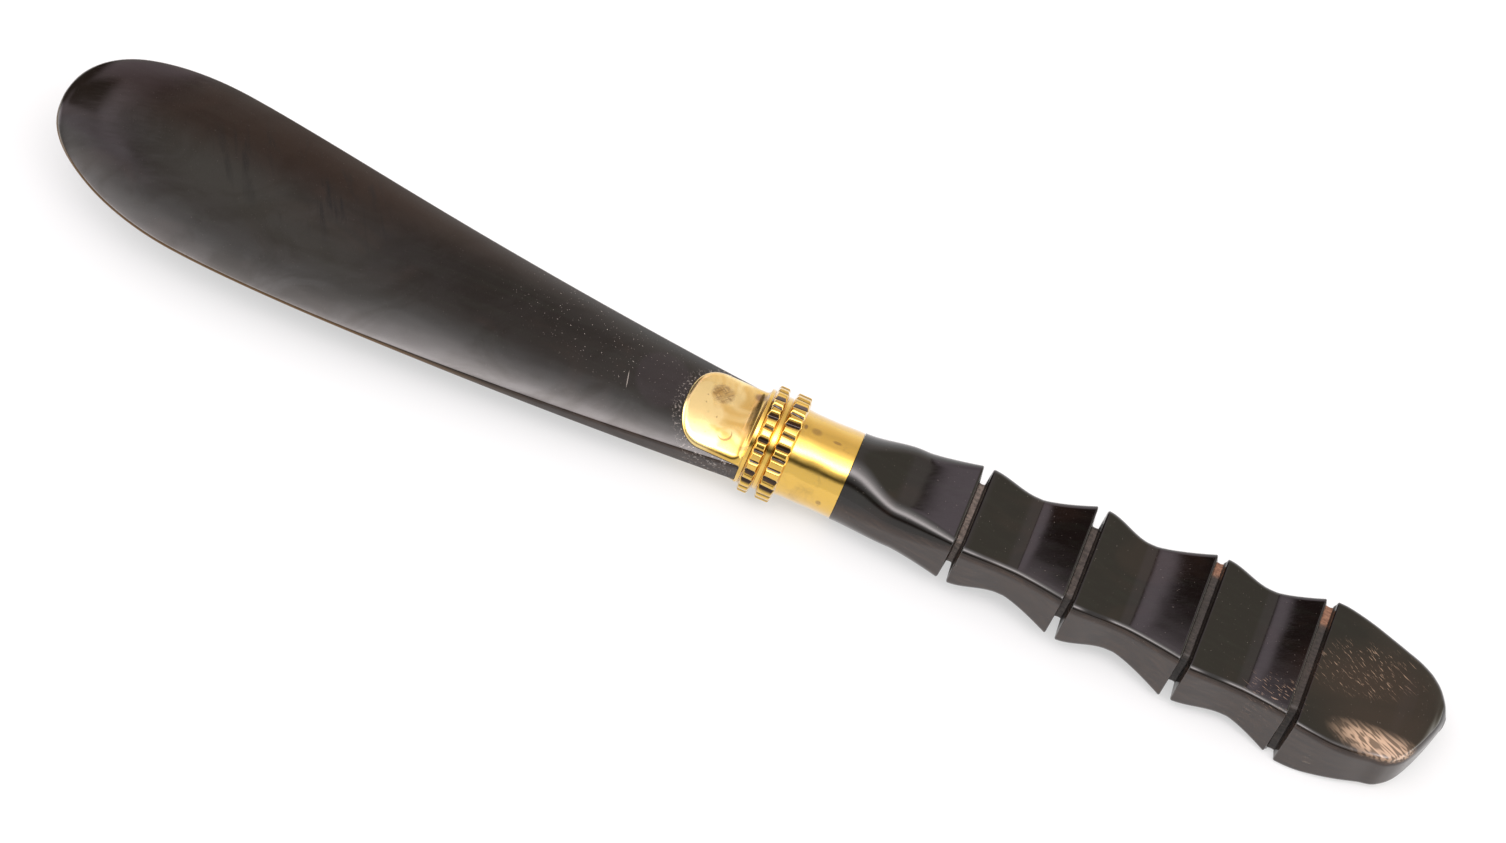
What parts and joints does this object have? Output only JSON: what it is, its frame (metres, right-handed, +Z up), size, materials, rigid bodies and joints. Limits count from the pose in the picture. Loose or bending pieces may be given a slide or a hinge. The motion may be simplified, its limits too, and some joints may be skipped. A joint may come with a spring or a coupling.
{
  "type": "paper knife",
  "caption": "Hand-carved black horn paper knife: a broad crowned blade with a thin round tip, a brass ferrule with milled rings, and a finger-notched handle cut by saw kerfs.",
  "frame": {"origin": "centre of the bounding box in X and Y, on the supporting plane under the knife", "axes": "+X runs along the knife from the blade's tip to the butt, +Z points up out of the top face, and +Y completes the frame. The knife is tipped by one degree about Y, as it lies at rest on its rear milled ring and the flat under its butt"},
  "size_m": [0.25, 0.0342, 0.0188],
  "materials": {
    "black_horn": "hand-polished black horn, with faint growth streaks and amber where it is thin",
    "polished_brass": "polished, with light tarnish and small dents",
    "steel_rod": "drawn rod, hidden inside the joint",
    "cutlers_cement": "matt resin filler, hidden inside the sleeve"
  },
  "bodies": {
    "root": {"horn_blade": "black_horn", "horn_handle": "black_horn", "ferrule_sleeve": "polished_brass", "milled_ring_front": "polished_brass", "milled_ring_rear": "polished_brass", "spacer_ring": "polished_brass", "tongue_yoke": "polished_brass", "dowel_rod": "steel_rod", "cement_fill": "cutlers_cement"}
  },
  "joints": []
}
